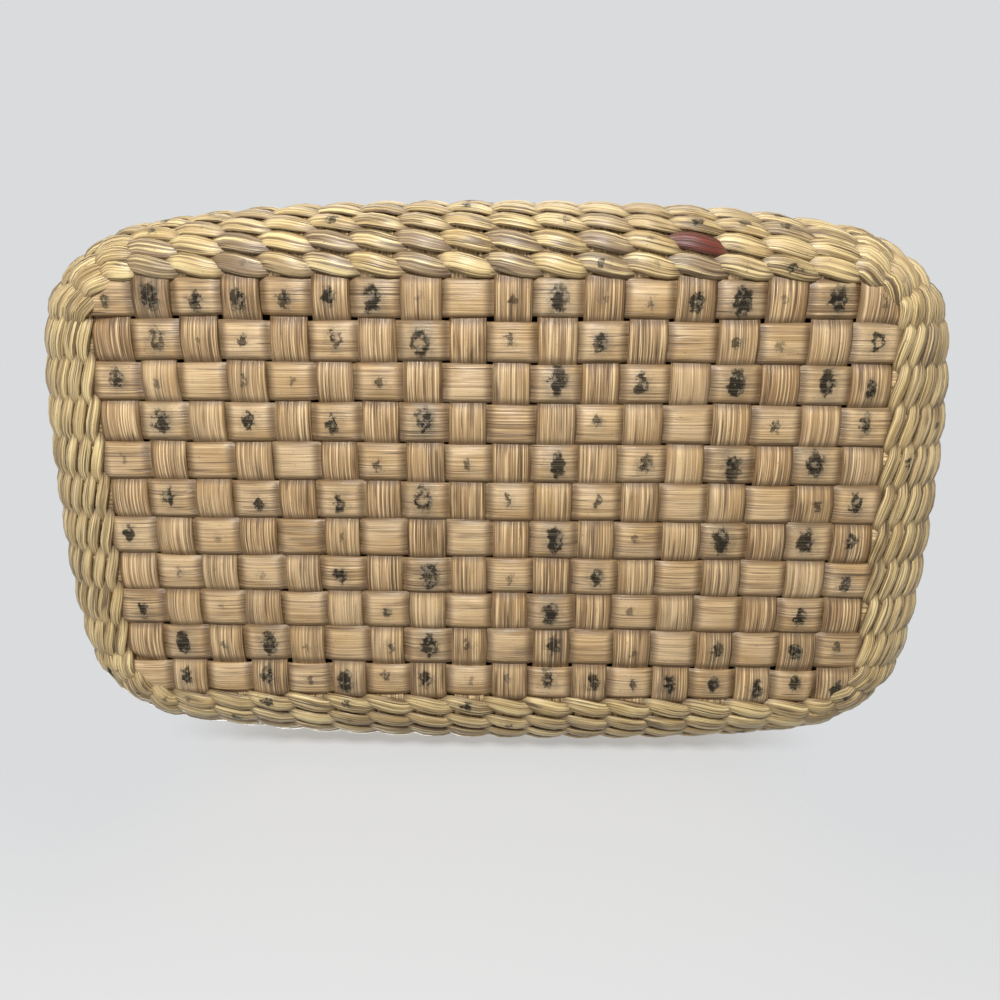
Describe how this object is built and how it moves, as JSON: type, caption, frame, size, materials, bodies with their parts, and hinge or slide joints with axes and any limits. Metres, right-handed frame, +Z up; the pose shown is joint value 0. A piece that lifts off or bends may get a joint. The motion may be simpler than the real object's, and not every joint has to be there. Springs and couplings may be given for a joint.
{
  "type": "basket box bag",
  "caption": "Rectangular basket bag with a woven leaf base, twined rounded walls, a hinged woven lid and fixed arched handles.",
  "frame": {"origin": "middle of the base mat's outer face, the plane the bag stands on", "axes": "+Z up, +X along the bag, +Y towards the hinge at the back"},
  "size_m": [0.264, 0.2152, 0.2227],
  "materials": {
    "mat_leaf": "plain-woven flat dried leaf, slightly glossy, worn",
    "twined_leaf": "two-strand twined dried leaf",
    "binding_leaf": "dried leaf strip, wound",
    "handle_leaf": "cane wound with dried leaf strip",
    "cord": "twisted leaf cord"
  },
  "bodies": {
    "bag": {"base_mat": "mat_leaf", "side_wall": "twined_leaf", "rim_border": "binding_leaf", "hinge_loops": "cord", "handle_back": "handle_leaf", "handle_front": "handle_leaf", "handle_lashings_back": "binding_leaf", "handle_lashings_front": "binding_leaf"},
    "lid": {"lid_mat": "mat_leaf", "lid_wall": "twined_leaf", "lid_border": "binding_leaf"}
  },
  "joints": [
    {"name": "lid_hinge", "type": "hinge", "parent": "bag", "child": "lid", "pos_m": [0, 0.0777, 0.14073], "axis": [-1, 0, 0], "range_deg": [0, 85]}
  ]
}
